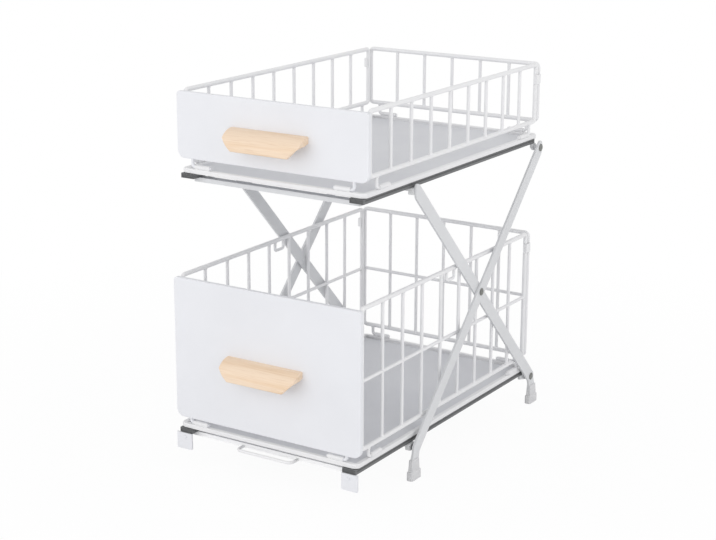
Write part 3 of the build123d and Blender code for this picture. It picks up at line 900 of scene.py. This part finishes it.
@dataclass
class ScissorLegs:
    """The crossing legs with their boots, pins and rivets. Sizes are in millimetres."""

    finishes: Finishes
    inner_x: float = 124.0
    outer_x: float = 127.0
    outer_face_x: float = 129.5
    block_face_x: float = 123.6
    pin_radius: float = 2.0
    washer_radius: float = 3.9
    washer_gap: float = 0.15
    back_height: float = 0.6
    back_radius: float = 3.2
    back_flat_share: float = 0.86
    back_edge_share: float = 0.55
    washer_soft: float = 0.5
    shank_radius: float = 2.5
    shank_sink: float = 0.2
    head_radius: float = 4.5
    head_height: float = 0.8
    gap: float = 0.3

    def build_rivets(self) -> None:
        """Builds the rivets where the legs cross, with peened heads and painted backs."""
        length = self.outer_face_x + self.gap - self.inner_x
        shank, root = self.shank_radius, -self.shank_sink
        outline = [(0.0, root), (shank, root), (shank, length)]
        outline += head_outline(length, self.head_radius, self.head_height)
        flat, edge = self.back_radius * self.back_flat_share, self.back_height * self.back_edge_share
        back = [(0.0, -self.back_height), (flat, -self.back_height), (self.back_radius, -edge),
                (self.back_radius, 0.0), (0.0, 0.0)]
        for side in Side:
            node = f"cross_rivet_{side.word}"
            middle = box_middle(node)
            start = Vector((side.value * self.inner_x * MM, middle.y, middle.z))
            way = Vector((side.value, 0, 0))
            shape = bmesh.new()
            spin_round(shape, outline, start, way)
            piece = new_piece(f"crossing_rivet_{side.word}", shape, self.finishes.zinc, "inner_legs")
            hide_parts(node)
            shape = bmesh.new()
            spin_round(shape, back, start, way)
            new_piece(f"crossing_rivet_back_{side.word}", shape, self.finishes.leg, "inner_legs")

    def build_washers(self) -> None:
        """Builds the washers on the lower pins, between the slide blocks and the outer legs; their dark nylon
        is painted shade where the block meets the leg.
        """
        length = self.outer_x - self.block_face_x - 2 * self.washer_gap
        wide, soft = self.washer_radius, self.washer_soft
        outline = [(self.pin_radius, 0.0), (wide - soft, 0.0), (wide, soft), (wide, length - soft),
                   (wide - soft, length), (self.pin_radius, length), (self.pin_radius, 0.0)]
        middle = box_middle("outer_leg_pins")
        for side in Side:
            start_x = side.value * (self.block_face_x + self.washer_gap) * MM
            start = Vector((start_x, middle.y, middle.z))
            shape = bmesh.new()
            spin_round(shape, outline, start, Vector((side.value, 0, 0)))
            # The dark nylon here is painted shade between the block and the leg.
            new_piece(f"pin_washer_{side.word}", shape, self.finishes.tape, "outer_legs")

    def dress_nodes(self) -> None:
        """Gives every node of the legs its finish."""
        for side in Side:
            for part, material in (("inner_leg", self.finishes.leg), ("outer_leg", self.finishes.leg),
                                   ("rear_foot", self.finishes.boot), ("front_foot", self.finishes.boot),
                                   ("cross_rivet", self.finishes.zinc)):
                dress(f"{part}_{side.word}", material)
        for pins in ("inner_leg_pins", "outer_leg_pins"):
            dress(pins, self.finishes.zinc)
        log.info("dressed the legs")

    def build(self) -> None:
        """Dresses the legs' nodes and adds the rivets and washers."""
        self.dress_nodes()
        self.build_rivets()
        self.build_washers()


def seen_share(tree: bpy.types.NodeTree) -> bpy.types.NodeSocket:
    """Makes a value that is 1 for rays from the camera, off a sheen or through glass, and 0 for other light.

    Args:
        tree: The node tree that takes it.

    Returns:
        The socket with the value.
    """
    ray = add_node(tree, "ShaderNodeLightPath").outputs
    shiny = add_node(tree, "ShaderNodeMath", {0: ray["Is Camera Ray"], 1: ray["Is Glossy Ray"]},
                     operation="MAXIMUM")
    either = add_node(tree, "ShaderNodeMath", {0: shiny.outputs["Value"], 1: ray["Is Transmission Ray"]},
                      operation="MAXIMUM")
    return either.outputs["Value"]


@dataclass(frozen=True)
class SoftBox:
    """One square soft box: its place and width in metres and its power in watts."""

    name: str
    place: tuple[float, float, float]
    size: float
    watts: float


SOFT_BOXES = (
    SoftBox("key_box", (-0.9, -2.35, 1.25), 2.4, 15.0),
    SoftBox("front_box", (0.5, -2.4, 0.3), 1.8, 8.0),
    SoftBox("side_box", (2.2, -0.2, 1.3), 1.2, 10.0),
)


@dataclass
class Studio:
    """The pale floor, the soft lights and the camera. Lengths are in metres."""

    azimuth_deg: float = 32.52
    elevation_deg: float = 15.74
    roll_deg: float = 0.2
    distance: float = 1.9719
    target: tuple[float, float, float] = (0.0, 0.0127, 0.202)
    sideways: float = 0.01077
    focal_px: float = 1654.3
    image_width_px: float = 716.0
    sensor_width_mm: float = 36.0
    clip_range: tuple[float, float] = (0.05, 50.0)
    floor_radius: float = 4.0
    floor_sides: int = 96
    floor_drop: float = 0.0002
    floor_colour: str = "#F4F4F5"
    # The floor's own white share grows from this near the rack to 1 over the reach below.
    near_white: float = 0.95
    white_reach: tuple[float, float] = (0.3, 0.9)
    horizon_level: float = 0.86
    zenith_level: float = 0.66

    def place_camera(self) -> None:
        """Puts the camera where the photograph was taken from."""
        azimuth, elevation = math.radians(self.azimuth_deg), math.radians(self.elevation_deg)
        back = Vector((math.sin(azimuth) * math.cos(elevation), -math.cos(azimuth) * math.cos(elevation),
                       math.sin(elevation)))
        right = Vector((math.cos(azimuth), math.sin(azimuth), 0.0))
        data = bpy.data.cameras.new("camera")
        data.sensor_width = self.sensor_width_mm
        data.lens = self.focal_px / self.image_width_px * data.sensor_width
        data.clip_start, data.clip_end = self.clip_range
        camera = bpy.data.objects.new("camera", data)
        camera.location = Vector(self.target) + back * self.distance - right * self.sideways
        roll = Matrix.Rotation(math.radians(self.roll_deg), 3, "Z")
        camera.rotation_euler = ((-back).to_track_quat("-Z", "Y").to_matrix() @ roll).to_euler()
        bpy.context.scene.collection.objects.link(camera)
        bpy.context.scene.camera = camera

    def floor_material(self) -> bpy.types.Material:
        """Makes the floor's paint: it takes the shadow near the rack and is white further out.

        Returns:
            The finished material.
        """
        material, tree = new_material("studio_floor_paint")
        place = add_node(tree, "ShaderNodeTexCoord").outputs["Object"]
        reach = add_node(tree, "ShaderNodeVectorMath", {0: place}, operation="LENGTH")
        far = add_node(tree, "ShaderNodeMapRange",
                       {"Value": reach.outputs["Value"], "From Min": self.white_reach[0],
                        "From Max": self.white_reach[1], "To Min": self.near_white, "To Max": 1.0})
        paint = add_node(tree, "ShaderNodeBsdfDiffuse", {"Color": linear(self.floor_colour)})
        glow = add_node(tree, "ShaderNodeEmission", {"Color": (1, 1, 1, 1), "Strength": 1.0})
        share = add_node(tree, "ShaderNodeMath", {0: seen_share(tree), 1: far.outputs["Result"]},
                         operation="MULTIPLY")
        mixed = add_node(tree, "ShaderNodeMixShader",
                         {0: share.outputs["Value"], 1: paint.outputs["BSDF"], 2: glow.outputs["Emission"]})
        add_node(tree, "ShaderNodeOutputMaterial", {"Surface": mixed.outputs["Shader"]})
        return material

    def lay_floor(self) -> None:
        """Makes the floor just under the soles."""
        shape = bmesh.new()
        bmesh.ops.create_circle(shape, cap_ends=True, segments=self.floor_sides, radius=self.floor_radius)
        bmesh.ops.translate(shape, vec=(0, 0, -self.floor_drop), verts=shape.verts)
        mesh = bpy.data.meshes.new("floor")
        shape.to_mesh(mesh)
        shape.free()
        mesh.materials.append(self.floor_material())
        floor = bpy.data.objects.new("floor", mesh)
        bpy.context.scene.collection.objects.link(floor)

    def light_world(self) -> None:
        """Sets a pale sky, weaker overhead, that is plain white where the camera sees it."""
        world = bpy.data.worlds.new("studio")
        bpy.context.scene.world = world
        world.use_nodes = True
        tree = world.node_tree
        tree.nodes.clear()
        way = add_node(tree, "ShaderNodeSeparateXYZ",
                       {"Vector": add_node(tree, "ShaderNodeTexCoord").outputs["Generated"]})
        sky_light = add_node(tree, "ShaderNodeMapRange",
                             {"Value": way.outputs["Z"], "To Min": self.horizon_level,
                              "To Max": self.zenith_level})
        level = add_node(tree, "ShaderNodeMapRange",
                         {"Value": seen_share(tree), "To Min": sky_light.outputs["Result"], "To Max": 1.0})
        sky = add_node(tree, "ShaderNodeBackground",
                       {"Color": (1, 1, 1, 1), "Strength": level.outputs["Result"]})
        add_node(tree, "ShaderNodeOutputWorld", {"Surface": sky.outputs["Background"]})

    def hang_lamp(self, box: SoftBox) -> None:
        """Hangs a square soft box that faces the rack.

        Args:
            box: Its name, place, size and power.
        """
        data = bpy.data.lights.new(box.name, "AREA")
        data.energy, data.size = box.watts, box.size
        lamp = bpy.data.objects.new(box.name, data)
        lamp.location = box.place
        lamp.rotation_euler = (Vector(self.target) - Vector(box.place)).to_track_quat("-Z", "Y").to_euler()
        bpy.context.scene.collection.objects.link(lamp)

    def build(self) -> None:
        """Sets up the whole studio."""
        self.place_camera()
        self.lay_floor()
        self.light_world()
        for box in SOFT_BOXES:
            self.hang_lamp(box)
        bpy.context.scene.view_settings.view_transform = "Standard"
        log.info("built the studio")


def main() -> None:
    """Dresses every sub-assembly and sets up the studio."""
    logging.basicConfig(level=logging.INFO, format="%(message)s")
    finishes = Finishes.build()
    for tier in Tier:
        Basket(tier, finishes).build()
        SupportFrame(tier, finishes).build()
    ScissorLegs(finishes).build()
    Studio().build()


if __name__ == "__main__":
    main()
